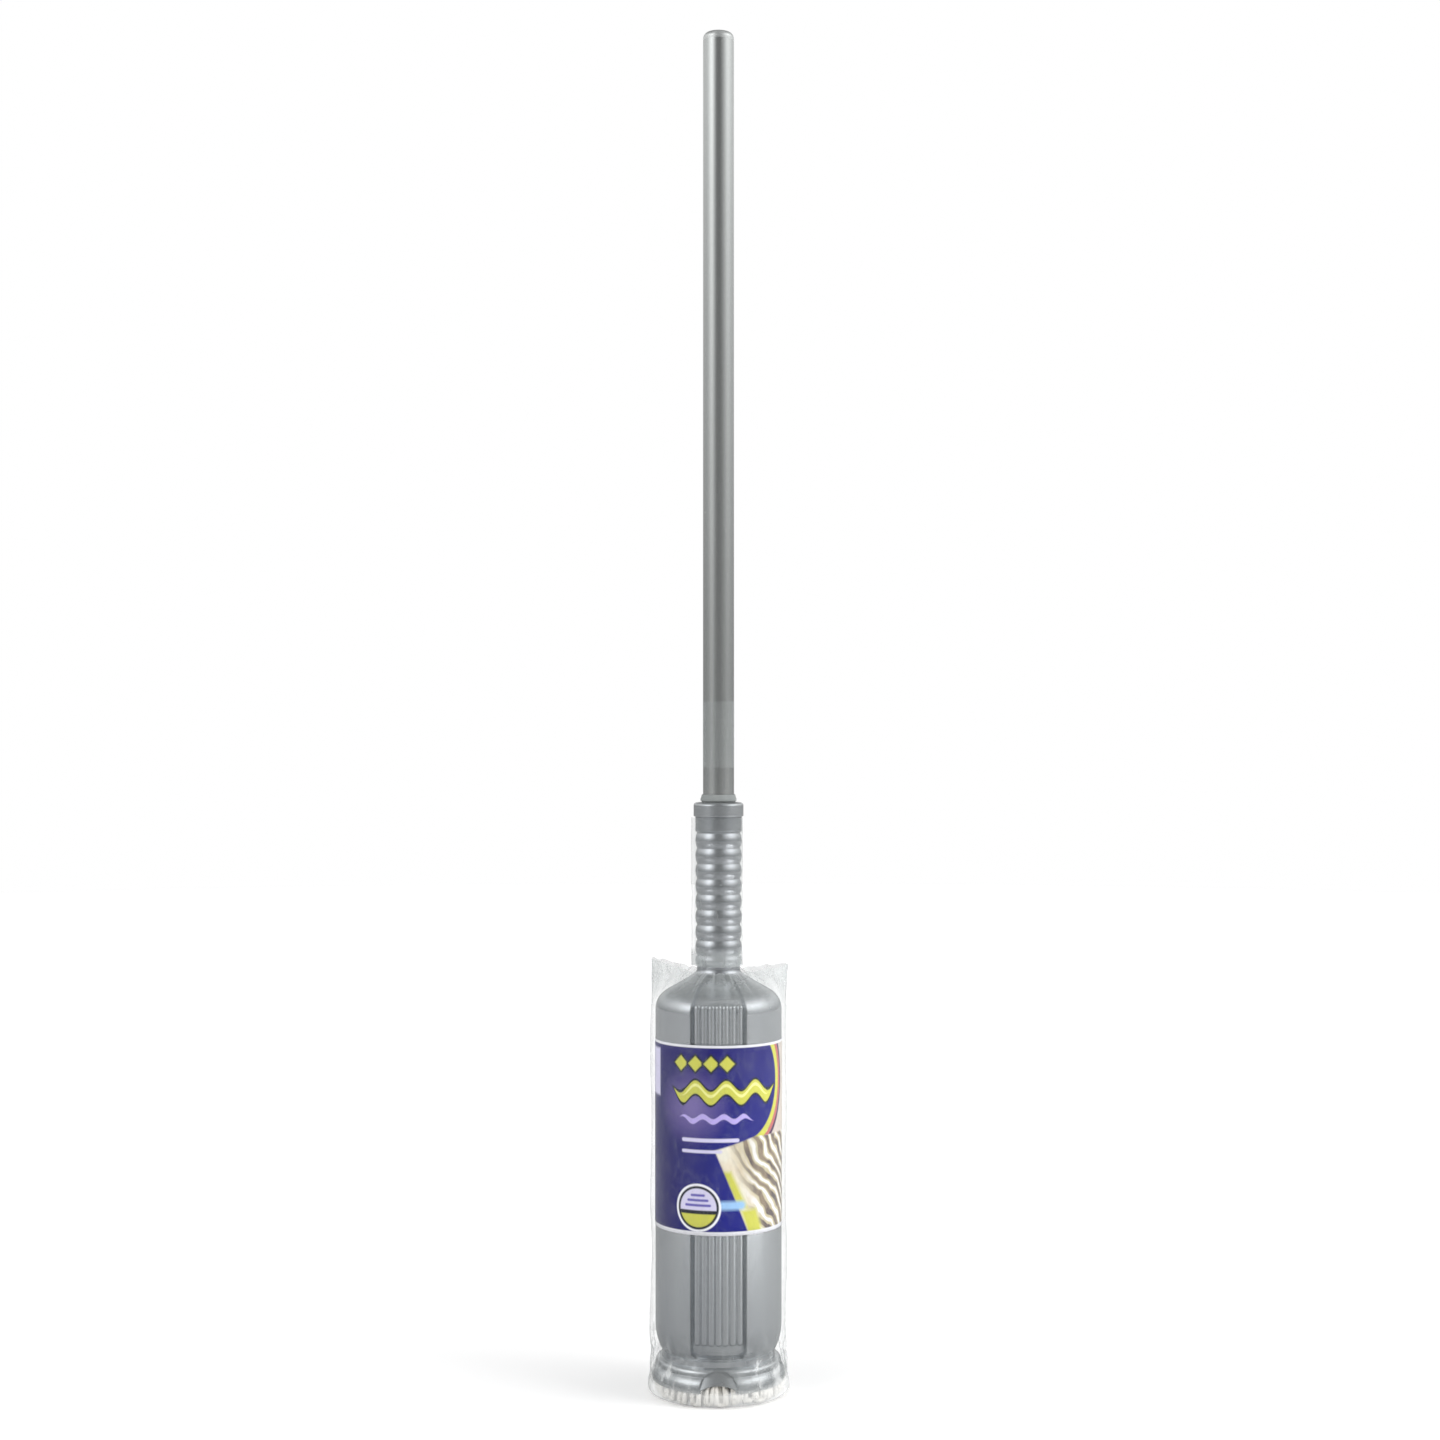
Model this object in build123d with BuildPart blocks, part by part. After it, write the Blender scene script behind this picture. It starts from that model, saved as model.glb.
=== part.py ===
from build123d import *

import os
from math import acos, cos, degrees, radians, sin, sqrt

# Self-wringing mop, in millimetres. A steel pole carries a strand mop head on its lower end.
# A grey plastic wringing sleeve slides along the pole and turns on it: pushed down over the
# wet strands and twisted, it squeezes the water out. It is drawn pushed down, with the strand
# ends showing under its rim, a printed band round it and a clear film over it.
# +Z runs up the pole, the origin is on the floor under the pole's axis, and -Y is the front.

os.makedirs("parts", exist_ok=True)

# ---- driving dimensions --------------------------------------------------------------------
TOTAL_HEIGHT = 1113.0
POLE_RADIUS = 12.7
POLE_WALL = 0.6
BODY_RADIUS = 51.6
NECK_RADIUS = 19.0
WALL = 1.8
SLIDING_GAP = 0.3
RUNNING_GAP = 0.1
SEAT_GAP = 0.03
OVERCUT = 1.0

# ---- heights, from the floor up ------------------------------------------------------------
RIM_BOTTOM = 12.0
SPIGOT_BOTTOM = 20.0
RIM_TOP = 31.0
TAPER_TOP = 57.5
HUB_BOTTOM = 264.0
SOCKET_BOTTOM = 302.0
POLE_BOTTOM = 308.0
SHOULDER_BOTTOM = 314.0
STOP_TOP = 352.0
NECK_TOP = 476.0
COLLAR_BOTTOM = 471.0
COLLAR_TOP = 482.4
NOSE_TOP = 489.0
CAP_SEAT = TOTAL_HEIGHT - 7.0

# ---- wringing sleeve -----------------------------------------------------------------------
BEAD_RISE = 1.4
NECK_ROOT = NECK_RADIUS - BEAD_RISE
SHOULDER_ROUND = 17.0
SHOULDER_SLOPE = 60.0
NECK_FILLET = 6.0
TAPER_ROUND = 45.0
SPIGOT_RADIUS = 46.0
CHANNEL_DEPTH = 3.0
CHANNEL_HALF_WIDTH = 22.5
CHANNEL_BOTTOM = 38.0
CHANNEL_ARCH_TOP = 343.0
CHANNEL_TIP_HALF_WIDTH = 9.0
CHANNEL_FOOT_ROUND = 6.0
REED_COUNT = 7
REED_PITCH = 5.6
REED_RADIUS = 3.2
REED_PROUD = 1.5
BEAD_COUNT = 8
BEAD_PITCH = 12.5
BEADS_TOP = 457.6

# The shoulder's cone touches both the neck fillet and the shoulder round, which fixes how far
# above the shoulder round the neck fillet's centre lies.
slope_cos = cos(radians(SHOULDER_SLOPE))
slope_sin = sin(radians(SHOULDER_SLOPE))
centre_run = (BODY_RADIUS - SHOULDER_ROUND) - (NECK_ROOT + NECK_FILLET)
NECK_FILLET_Z = SHOULDER_BOTTOM + (centre_run * slope_cos + SHOULDER_ROUND + NECK_FILLET) / slope_sin
# The taper's arc turns in until it meets the spigot that the rim ring sits on.
TAPER_ANGLE = acos((SPIGOT_RADIUS - (BODY_RADIUS - TAPER_ROUND)) / TAPER_ROUND)
WAIST_Z = TAPER_TOP - TAPER_ROUND * sin(TAPER_ANGLE)

# ---- rim ring ------------------------------------------------------------------------------
RIM_RADIUS = 54.5
RIM_GROOVE_RADIUS = 50.8
RIM_GROOVE_Z = 24.5
RIM_THROAT = SPIGOT_RADIUS - WALL
RIM_MOUTH = 52.6
NOTCH_HALF_WIDTH = 14.0
NOTCH_TOP = 18.5
ARCH_TOP = 30.0
ARCH_DEPTH = 1.2

# ---- slider and stops ----------------------------------------------------------------------
BORE_RADIUS = POLE_RADIUS + SLIDING_GAP
NECK_BORE = NECK_ROOT - WALL
BUSH_RADIUS = NECK_BORE - RUNNING_GAP
BUSH_BOTTOM = 430.0
FLANGE_RADIUS = 17.9
FLANGE_BOTTOM = NECK_TOP + SLIDING_GAP
FLANGE_TOP = FLANGE_BOTTOM + 2.5
NOSE_STEM_RADIUS = 13.9
NOSE_RADIUS = 14.8
NOSE_TIP_RADIUS = 13.6
NOSE_HEAD_BOTTOM = COLLAR_TOP + 1.3
NOSE_CONE_BOTTOM = NOSE_HEAD_BOTTOM + 1.5
O_RING_Z = 456.0
O_RING_SECTION = 0.95
COLLAR_RADIUS = 20.4
COLLAR_MOUTH = 17.2
LOWER_BUSH_TOP = 378.0
STOP_CLEARANCE = 0.3
STOP_PIN_RADIUS = 2.0
WASHER_RADIUS = 15.2
WASHER_THICKNESS = 1.5

# ---- mop head ------------------------------------------------------------------------------
STUD_RADIUS = 9.5
THREAD_PITCH = 4.0
THREAD_DEPTH = 0.9
HUB_RADIUS = 23.0
HUB_GROOVE_RADIUS = 20.0
BAND_BOTTOM = 281.0
BAND_TOP = 289.0
BAND_RADIUS = 24.6
BAND_THICKNESS = 1.0
BUNDLE_RADIUS = 41.2
STRAND_SPREAD = 57.0
STRAND_FOOT = 54.0

# ---- packing -------------------------------------------------------------------------------
LABEL_BOTTOM = 138.3
LABEL_TOP = 290.0
LABEL_GAP = 0.15
LABEL_THICKNESS = 0.25
FILM_THICKNESS = 0.25
FILM_RADIUS = 52.3
FILM_TOP = 346.0


def finish(piece, name):
    """Names a finished piece and writes it."""
    piece.part.label = name
    export_step(piece.part, f"parts/{name}.step")
    print(name, round(piece.part.volume, 1), "mm3")


def ring(outer, inner, bottom, top, mode=Mode.ADD):
    """A plain ring or tube between two heights, added to the open part or cut from it."""
    with BuildSketch(Plane.XY.offset(bottom)) as section:
        Circle(outer)
        if inner > 0:
            Circle(inner, mode=Mode.SUBTRACT)
    extrude(section.sketch, amount=top - bottom, mode=mode)


def turned(points, mode=Mode.ADD):
    """Straight runs between (radius, height) points, turned about the pole's axis."""
    with BuildSketch(Plane.XZ) as section:
        with BuildLine():
            Polyline(*points, close=True)
        make_face()
    revolve(section.sketch, axis=Axis.Z, mode=mode)


def cross_bar(radius, half_length, height, along, mode=Mode.ADD):
    """A round bar through the pole's axis, along x or y."""
    plane = Plane.YZ if along == "x" else Plane.XZ
    with BuildSketch(plane) as section:
        with Locations((0, height)):
            Circle(radius)
    extrude(section.sketch, amount=half_length, both=True, mode=mode)


# ---- the pole ------------------------------------------------------------------------------
RIVET_Z = 326.0
RIVET_RADIUS = 2.0
STOP_PIN_Z = STOP_TOP - WASHER_THICKNESS - STOP_PIN_RADIUS


def make_pole_tube():
    """Painted steel tube with a rivet hole near its foot and the stop pin's hole above it."""
    with BuildPart() as pole_tube:
        ring(POLE_RADIUS, POLE_RADIUS - POLE_WALL, POLE_BOTTOM, CAP_SEAT)
        cross_bar(RIVET_RADIUS, POLE_RADIUS + OVERCUT, RIVET_Z, "y", mode=Mode.SUBTRACT)
        cross_bar(STOP_PIN_RADIUS, POLE_RADIUS + OVERCUT, STOP_PIN_Z, "x", mode=Mode.SUBTRACT)
    finish(pole_tube, "pole_tube")


def make_pole_cap():
    """End cap: a rounded head flush with the tube and a hollow plug with crush ribs inside it."""
    head_round = 5.5
    plug_depth = 26.0
    rib_radius = 0.5
    plug_radius = POLE_RADIUS - POLE_WALL - rib_radius
    plug_wall = 2.0
    rib_count = 6
    with BuildPart() as pole_cap:
        with BuildSketch(Plane.XY.offset(CAP_SEAT)):
            Circle(POLE_RADIUS)
        extrude(amount=TOTAL_HEIGHT - CAP_SEAT)
        fillet(pole_cap.edges().group_by(Axis.Z)[-1], head_round)
        with BuildSketch(Plane.XY.offset(CAP_SEAT)):
            Circle(plug_radius)
            with PolarLocations(plug_radius, rib_count):
                Circle(rib_radius - SEAT_GAP)
            Circle(plug_radius - plug_wall, mode=Mode.SUBTRACT)
        extrude(amount=-plug_depth)
    finish(pole_cap, "pole_cap")


def make_head_socket():
    """Plug pressed into the pole's foot, with a flange and the threaded stud for the mop head."""
    plug_top = POLE_BOTTOM + 35.0
    plug_lid = 3.0
    stud_bottom = SOCKET_BOTTOM - 28.0
    flange_radius = 14.2
    core_radius = 5.0
    lead_in = 1.2
    with BuildPart() as head_socket:
        ring(POLE_RADIUS - POLE_WALL - SEAT_GAP, 0, POLE_BOTTOM, plug_top)
        ring(flange_radius, 0, SOCKET_BOTTOM, POLE_BOTTOM)
        ring(STUD_RADIUS, 0, stud_bottom, SOCKET_BOTTOM)
        chamfer(head_socket.edges().group_by(Axis.Z)[0], lead_in)
        crest = stud_bottom + THREAD_PITCH
        while crest < SOCKET_BOTTOM - THREAD_PITCH / 2:
            cut_thread_groove(crest)
            crest += THREAD_PITCH
        ring(core_radius, 0, stud_bottom, plug_top - plug_lid, mode=Mode.SUBTRACT)
        cross_bar(RIVET_RADIUS, POLE_RADIUS, RIVET_Z, "y", mode=Mode.SUBTRACT)
    finish(head_socket, "head_socket")


def cut_thread_groove(height):
    """One turn of the stud's thread, cut as a ring."""
    crest = STUD_RADIUS + RUNNING_GAP
    half_open = THREAD_PITCH / 4
    root = STUD_RADIUS - THREAD_DEPTH
    turned([(root, height), (crest, height + half_open), (crest, height - half_open)], mode=Mode.SUBTRACT)


def make_socket_rivet():
    """Rivet that holds the socket in the pole, with a low head on each side."""
    head_radius = 3.6
    head_height = 1.1
    head_round = 0.7
    head_seat = POLE_RADIUS + SEAT_GAP
    with BuildPart() as socket_rivet:
        cross_bar(RIVET_RADIUS - SEAT_GAP, head_seat + head_height / 2, RIVET_Z, "y")
        for side in (1, -1):
            with BuildSketch(Plane.XZ.offset(side * head_seat)):
                with Locations((0, RIVET_Z)):
                    Circle(head_radius)
            extrude(amount=side * head_height)
        rims = socket_rivet.edges().filter_by(GeomType.CIRCLE).sort_by(Axis.Y)
        fillet([rims[0], rims[-1]], head_round)
    finish(socket_rivet, "socket_rivet")


def make_stops():
    """Cross pin and washer: the sleeve comes to rest on them when it is pushed right down."""
    pin_half_length = WASHER_RADIUS - 0.6
    pin_chamfer = 0.4
    washer_chamfer = 0.3
    with BuildPart() as stop_pin:
        cross_bar(STOP_PIN_RADIUS - SEAT_GAP, pin_half_length, STOP_PIN_Z, "x")
        chamfer(stop_pin.edges().filter_by(GeomType.CIRCLE), pin_chamfer)
    finish(stop_pin, "stop_pin")
    with BuildPart() as stop_washer:
        ring(WASHER_RADIUS, POLE_RADIUS + RUNNING_GAP, STOP_TOP - WASHER_THICKNESS, STOP_TOP)
        chamfer(stop_washer.edges().group_by(Axis.Z)[-1].sort_by(SortBy.RADIUS)[-1], washer_chamfer)
    finish(stop_washer, "stop_washer")


# ---- the mop head --------------------------------------------------------------------------
def make_mop_hub():
    """Screw-on hub: blind bore for the stud, a waist for the clamp band and grip flutes on top."""
    flute_count = 12
    flute_radius = 2.0
    flute_length = 5.0
    foot_round = 3.0
    top_chamfer = 1.0
    floor_thickness = 8.0
    thread_gap = 0.2
    groove_slack = 0.5
    groove_flare = 1.5
    groove = [
        (HUB_GROOVE_RADIUS, BAND_BOTTOM - groove_slack),
        (HUB_GROOVE_RADIUS, BAND_TOP + groove_slack),
        (HUB_RADIUS + OVERCUT, BAND_TOP + groove_flare),
        (HUB_RADIUS + OVERCUT, BAND_BOTTOM - groove_flare),
    ]
    bore_bottom = HUB_BOTTOM + floor_thickness
    with BuildPart() as mop_hub:
        ring(HUB_RADIUS, 0, HUB_BOTTOM, SOCKET_BOTTOM)
        fillet(mop_hub.edges().group_by(Axis.Z)[0], foot_round)
        chamfer(mop_hub.edges().group_by(Axis.Z)[-1], top_chamfer)
        turned(groove, mode=Mode.SUBTRACT)
        ring(STUD_RADIUS + thread_gap, 0, bore_bottom, SOCKET_BOTTOM, mode=Mode.SUBTRACT)
        with BuildSketch(Plane.XY.offset(SOCKET_BOTTOM)):
            with PolarLocations(HUB_RADIUS + flute_radius * 0.4, flute_count):
                Circle(flute_radius)
        extrude(amount=-flute_length, mode=Mode.SUBTRACT)
    finish(mop_hub, "mop_hub")


def make_clamp_band():
    """Steel band crimped round the strands, with the folded crimp standing off it at the back."""
    crimp_width = 6.0
    crimp_height = 2.2
    crimp_round = 0.8
    with BuildPart() as clamp_band:
        ring(BAND_RADIUS + BAND_THICKNESS, BAND_RADIUS, BAND_BOTTOM, BAND_TOP)
        with BuildSketch(Plane.XY.offset(BAND_BOTTOM)):
            with Locations((0, BAND_RADIUS + BAND_THICKNESS / 2 + crimp_height / 2)):
                RectangleRounded(crimp_width, crimp_height, crimp_round)
        extrude(amount=BAND_TOP - BAND_BOTTOM)
    finish(clamp_band, "clamp_band")


def make_mop_strands():
    """The bundle of strands as one soft solid: clamped on the hub, clear of the sleeve's
    channels all the way down, and spread under the rim, where it stands on the floor."""
    soft_gap = 0.15
    hub_clear = HUB_RADIUS + soft_gap
    groove_clear = HUB_GROOVE_RADIUS + soft_gap
    clamped = BAND_RADIUS - 0.05
    strands_top = BAND_TOP + 7.0
    widest_z = 5.0
    bundle_top = HUB_BOTTOM - 6.0
    with BuildPart() as mop_strands:
        with BuildSketch(Plane.XZ):
            with BuildLine():
                foot = Line((0, 0), (STRAND_FOOT, 0))
                edge = ThreePointArc(foot @ 1, (STRAND_SPREAD, widest_z), (RIM_MOUTH, RIM_BOTTOM - 0.6))
                flare = Line(edge @ 1, (RIM_THROAT - 0.4, SPIGOT_BOTTOM - 1.4))
                side = Polyline(flare @ 1, (BUNDLE_RADIUS, SPIGOT_BOTTOM + 6), (BUNDLE_RADIUS, bundle_top))
                swell = ThreePointArc(side @ 1, (37.0, 271.0), (27.0, 277.5))
                Polyline(
                    swell @ 1,
                    (clamped, BAND_BOTTOM - 0.5),
                    (clamped, BAND_TOP + 0.5),
                    (26.4, BAND_TOP + 3.5),
                    (25.6, strands_top),
                    (hub_clear, strands_top),
                    (hub_clear, BAND_TOP + 1.0),
                    (groove_clear, BAND_TOP - 0.2),
                    (groove_clear, BAND_BOTTOM + 0.2),
                    (hub_clear, BAND_BOTTOM - 1.0),
                    (hub_clear, HUB_BOTTOM - soft_gap),
                    (0, HUB_BOTTOM - soft_gap),
                    (0, 0),
                )
            make_face()
        revolve(axis=Axis.Z)
    finish(mop_strands, "mop_strands")


# ---- the slider ----------------------------------------------------------------------------
def make_guide_bush():
    """Bush that runs on the pole. Its flange is caught under the collar, so that the sleeve
    turns on it, and its nose stands out of the sleeve, with a shadow gap below the nose's head.
    An O-ring sits in a groove in its bore."""
    groove_half = O_RING_SECTION + 0.35
    groove_radius = POLE_RADIUS + RUNNING_GAP + 2 * O_RING_SECTION + 0.15
    lead_in = 0.8
    lead_length = 2.0
    outline = [
        (BORE_RADIUS, BUSH_BOTTOM),
        (BUSH_RADIUS - lead_in, BUSH_BOTTOM),
        (BUSH_RADIUS, BUSH_BOTTOM + lead_length),
        (BUSH_RADIUS, FLANGE_BOTTOM),
        (FLANGE_RADIUS, FLANGE_BOTTOM),
        (FLANGE_RADIUS, FLANGE_TOP),
        (NOSE_STEM_RADIUS, FLANGE_TOP),
        (NOSE_STEM_RADIUS, NOSE_HEAD_BOTTOM),
        (NOSE_RADIUS, NOSE_HEAD_BOTTOM),
        (NOSE_RADIUS, NOSE_CONE_BOTTOM),
        (NOSE_TIP_RADIUS, NOSE_TOP),
        (BORE_RADIUS, NOSE_TOP),
    ]
    with BuildPart() as guide_bush:
        turned(outline)
        ring(groove_radius, POLE_RADIUS, O_RING_Z - groove_half, O_RING_Z + groove_half, mode=Mode.SUBTRACT)
    finish(guide_bush, "guide_bush")


def make_friction_ring():
    """Rubber O-ring in the bush: its grip on the pole holds the sleeve where it is put."""
    centre_radius = POLE_RADIUS + RUNNING_GAP + O_RING_SECTION
    with BuildPart() as friction_ring:
        with BuildSketch(Plane.XZ):
            with Locations((centre_radius, O_RING_Z)):
                Circle(O_RING_SECTION)
        revolve(axis=Axis.Z)
    finish(friction_ring, "friction_ring")


# ---- the wringing sleeve -------------------------------------------------------------------
def sleeve_core(inset):
    """The sleeve's outer form as a solid, with every surface moved in by inset: neck, fillet,
    cone, shoulder round, body, taper and spigot."""
    fillet_centre = (NECK_ROOT + NECK_FILLET, NECK_FILLET_Z)
    shoulder_centre = (BODY_RADIUS - SHOULDER_ROUND, SHOULDER_BOTTOM)
    taper_centre = (BODY_RADIUS - TAPER_ROUND, TAPER_TOP)
    taper_turn = degrees(TAPER_ANGLE)
    with BuildPart() as core:
        with BuildSketch(Plane.XZ):
            with BuildLine():
                neck = CenterArc(fillet_centre, NECK_FILLET + inset, 180, SHOULDER_SLOPE)
                round_radius = SHOULDER_ROUND - inset
                shoulder = CenterArc(shoulder_centre, round_radius, SHOULDER_SLOPE, -SHOULDER_SLOPE)
                taper = CenterArc(taper_centre, TAPER_ROUND - inset, 0, -taper_turn)
                Polyline((0, NECK_TOP), (NECK_ROOT - inset, NECK_TOP), neck @ 0)
                Line(neck @ 1, shoulder @ 0)
                Line(shoulder @ 1, taper @ 0)
                Polyline(
                    taper @ 1,
                    (SPIGOT_RADIUS - inset, WAIST_Z),
                    (SPIGOT_RADIUS - inset, SPIGOT_BOTTOM),
                    (0, SPIGOT_BOTTOM),
                    (0, NECK_TOP),
                )
            make_face()
        revolve(axis=Axis.Z)
    return core.part


def channel_prism(growth):
    """The front and back channels' outline, pushed right through: straight sides, an ogee at
    the top that narrows up the shoulder to the neck, and round corners at the waist."""
    half = CHANNEL_HALF_WIDTH + growth
    tip_half = CHANNEL_TIP_HALF_WIDTH + growth
    tip = CHANNEL_ARCH_TOP + growth
    ogee_bottom = SHOULDER_BOTTOM - 4.0
    ogee_middle = ((half + tip_half) / 2 + 4.0, (ogee_bottom + CHANNEL_ARCH_TOP) / 2 + 1.5)
    foot = CHANNEL_BOTTOM - growth
    side_bottom = (half, foot + CHANNEL_FOOT_ROUND)
    foot_corner = (half - CHANNEL_FOOT_ROUND, foot)
    off_corner = CHANNEL_FOOT_ROUND * (1 - sqrt(0.5))
    foot_middle = (half - off_corner, foot + off_corner)
    with BuildPart() as prism:
        with BuildSketch(Plane.XZ):
            with BuildLine():
                side = Line(side_bottom, (half, ogee_bottom))
                ogee = ThreePointArc(side @ 1, ogee_middle, (tip_half, tip))
                Line(ogee @ 1, (0, tip))
                bend = ThreePointArc(side @ 0, foot_middle, foot_corner)
                Line(bend @ 1, (0, foot))
                mirror(about=Plane.YZ)
            make_face()
        extrude(amount=BODY_RADIUS + OVERCUT, both=True)
    return prism.part


def channelled(inset):
    """The sleeve's form, moved in by inset, with both channels pressed into it."""
    form = sleeve_core(inset)
    floor = sleeve_core(inset + CHANNEL_DEPTH)
    prism = channel_prism(inset)
    with BuildPart() as solid:
        add(form)
        add(prism, mode=Mode.SUBTRACT)
        add(floor)
    return solid.part


def grip_beads():
    """Rounded beads up the neck, with a narrow groove between each pair, and the plain band
    above them that the collar is pushed on to."""
    overlap = NECK_ROOT - 0.6
    last_share = 0.7
    step_height = 1.5
    with BuildPart() as beads:
        with BuildSketch(Plane.XZ):
            for number in range(BEAD_COUNT + 1):
                top = BEADS_TOP - number * BEAD_PITCH
                height = BEAD_PITCH if number < BEAD_COUNT else BEAD_PITCH * last_share
                foot = top - height
                with BuildLine():
                    ThreePointArc((NECK_ROOT, top), (NECK_RADIUS, top - height / 2), (NECK_ROOT, foot))
                    Polyline((NECK_ROOT, foot), (overlap, foot), (overlap, top), (NECK_ROOT, top))
                make_face()
            with BuildLine():
                Polyline(
                    (overlap, BEADS_TOP),
                    (NECK_ROOT, BEADS_TOP),
                    (NECK_RADIUS, BEADS_TOP + step_height),
                    (NECK_RADIUS, NECK_TOP),
                    (overlap, NECK_TOP),
                    close=True,
                )
            make_face()
        revolve(axis=Axis.Z)
    return beads.part


def channel_reeds():
    """Upright reeds with round ends, side by side on the floor of each channel."""
    floor_radius = BODY_RADIUS - CHANNEL_DEPTH
    reed_bottom = CHANNEL_BOTTOM + 14.0
    reed_top = SHOULDER_BOTTOM + 5.0
    centre_radius = floor_radius + REED_PROUD - REED_RADIUS
    places = []
    for number in range(REED_COUNT):
        across = (number - (REED_COUNT - 1) / 2) * REED_PITCH
        inward = sqrt(centre_radius**2 - across**2)
        places += [(across, inward), (across, -inward)]
    with BuildPart() as reeds:
        with BuildSketch(Plane.XY.offset(reed_bottom)):
            with Locations(*places):
                Circle(REED_RADIUS)
        extrude(amount=reed_top - reed_bottom)
        with Locations(*[(x, y, z) for x, y in places for z in (reed_bottom, reed_top)]):
            Sphere(REED_RADIUS)
    return reeds.part


def make_wringer_sleeve():
    """The sleeve itself, one thin-walled moulding: ribbed neck, shoulder and channelled cup."""
    outside = channelled(0)
    inside = channelled(WALL)
    beads = grip_beads()
    reeds = channel_reeds()
    with BuildPart() as wringer_sleeve:
        add([outside, beads, reeds])
        add(inside, mode=Mode.SUBTRACT)
    finish(wringer_sleeve, "wringer_sleeve")


def make_neck_collar():
    """Collar pushed over the neck's top: its lid holds the bush's flange down."""
    lid_bottom = FLANGE_TOP + SLIDING_GAP
    top_round = 2.5
    foot_round = 0.6
    mouth_chamfer = 0.5
    margin = 0.1
    with BuildPart() as neck_collar:
        ring(COLLAR_RADIUS, NECK_RADIUS + SEAT_GAP, COLLAR_BOTTOM, lid_bottom)
        ring(COLLAR_RADIUS, COLLAR_MOUTH, lid_bottom, COLLAR_TOP)
        circles = neck_collar.edges().filter_by(GeomType.CIRCLE)
        outer = circles.filter_by(lambda edge: edge.radius > COLLAR_RADIUS - margin).sort_by(Axis.Z)
        fillet(outer[-1], top_round)
        fillet(outer[0], foot_round)
        mouth = circles.filter_by(lambda edge: edge.radius < COLLAR_MOUTH + margin)
        chamfer(mouth.sort_by(Axis.Z)[-1], mouth_chamfer)
    finish(neck_collar, "neck_collar")


def make_lower_bush():
    """Bush in the foot of the neck that keeps the sleeve in line with the pole."""
    bottom = STOP_TOP + STOP_CLEARANCE
    slot_width = 4.0
    slot_depth = 3.0
    slot_length = 18.0
    lead_in = 1.0
    with BuildPart() as lower_bush:
        ring(NECK_BORE - SEAT_GAP, BORE_RADIUS + 0.05, bottom, LOWER_BUSH_TOP)
        chamfer(lower_bush.edges().group_by(Axis.Z)[-1].sort_by(SortBy.RADIUS)[0], lead_in)
        with BuildSketch(Plane.XY.offset(LOWER_BUSH_TOP)):
            with PolarLocations(NECK_BORE, 4):
                Rectangle(slot_depth, slot_width)
        extrude(amount=-slot_length, mode=Mode.SUBTRACT)
    finish(lower_bush, "lower_bush")


def make_rim_ring():
    """Flared ring on the sleeve's foot that gathers the strands in. It has a bead over a fuller
    roll, and a drain notch under a sunk arch at the front and at the back."""
    sink = arch_sink()
    lip_width = 0.7
    roll_z = 15.5
    notch_foot = RIM_BOTTOM - OVERCUT
    notch_spring = RIM_BOTTOM + 2.5
    with BuildPart() as rim_ring:
        with BuildSketch(Plane.XZ):
            with BuildLine():
                seat = Polyline(
                    (SPIGOT_RADIUS + SEAT_GAP, RIM_TOP),
                    (SPIGOT_RADIUS + SEAT_GAP, SPIGOT_BOTTOM - SEAT_GAP),
                    (RIM_THROAT, SPIGOT_BOTTOM - SEAT_GAP),
                    (RIM_THROAT, SPIGOT_BOTTOM - 1.0),
                    (RIM_MOUTH, RIM_BOTTOM),
                    (RIM_RADIUS - lip_width, RIM_BOTTOM),
                )
                roll = ThreePointArc(seat @ 1, (RIM_RADIUS, roll_z), (RIM_GROOVE_RADIUS, RIM_GROOVE_Z))
                bead = ThreePointArc(roll @ 1, (50.4, 29.2), (47.6, RIM_TOP))
                Line(bead @ 1, seat @ 0)
            make_face()
        revolve(axis=Axis.Z)
        with BuildSketch(Plane.XZ):
            with BuildLine():
                foot = Line((-NOTCH_HALF_WIDTH, notch_foot), (NOTCH_HALF_WIDTH, notch_foot))
                jamb = Line(foot @ 1, (NOTCH_HALF_WIDTH, notch_spring))
                crown = ThreePointArc(jamb @ 1, (0, NOTCH_TOP), (-NOTCH_HALF_WIDTH, notch_spring))
                Line(crown @ 1, foot @ 0)
            make_face()
        extrude(amount=RIM_RADIUS + 5, both=True, mode=Mode.SUBTRACT)
        add(sink, mode=Mode.SUBTRACT)
    finish(rim_ring, "rim_ring")


def arch_sink():
    """What is cut away over each drain notch: an arch-shaped patch of the ring's outer skin."""
    half = NOTCH_HALF_WIDTH + 1.5
    bottom = RIM_BOTTOM - 1
    spring = RIM_BOTTOM + 4
    kept = [
        (0, bottom - 1),
        (RIM_RADIUS - ARCH_DEPTH, bottom - 1),
        (RIM_RADIUS - ARCH_DEPTH, 15.5),
        (RIM_GROOVE_RADIUS - ARCH_DEPTH, RIM_GROOVE_Z),
        (RIM_GROOVE_RADIUS - 2 * ARCH_DEPTH, ARCH_TOP),
        (0, ARCH_TOP),
    ]
    with BuildPart() as sink:
        with BuildSketch(Plane.XZ):
            with BuildLine():
                Polyline((half, spring), (half, bottom), (-half, bottom), (-half, spring))
                ThreePointArc((half, spring), (0, ARCH_TOP), (-half, spring))
            make_face()
        extrude(amount=RIM_RADIUS + 5, both=True)
        turned(kept, mode=Mode.SUBTRACT)
    return sink.part


# ---- packing on the sleeve -----------------------------------------------------------------
def make_label_band():
    """Printed band round the cup, bridging the channels."""
    inner = BODY_RADIUS + LABEL_GAP
    with BuildPart() as label_band:
        ring(inner + LABEL_THICKNESS, inner, LABEL_BOTTOM, LABEL_TOP)
    finish(label_band, "label_band")


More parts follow.
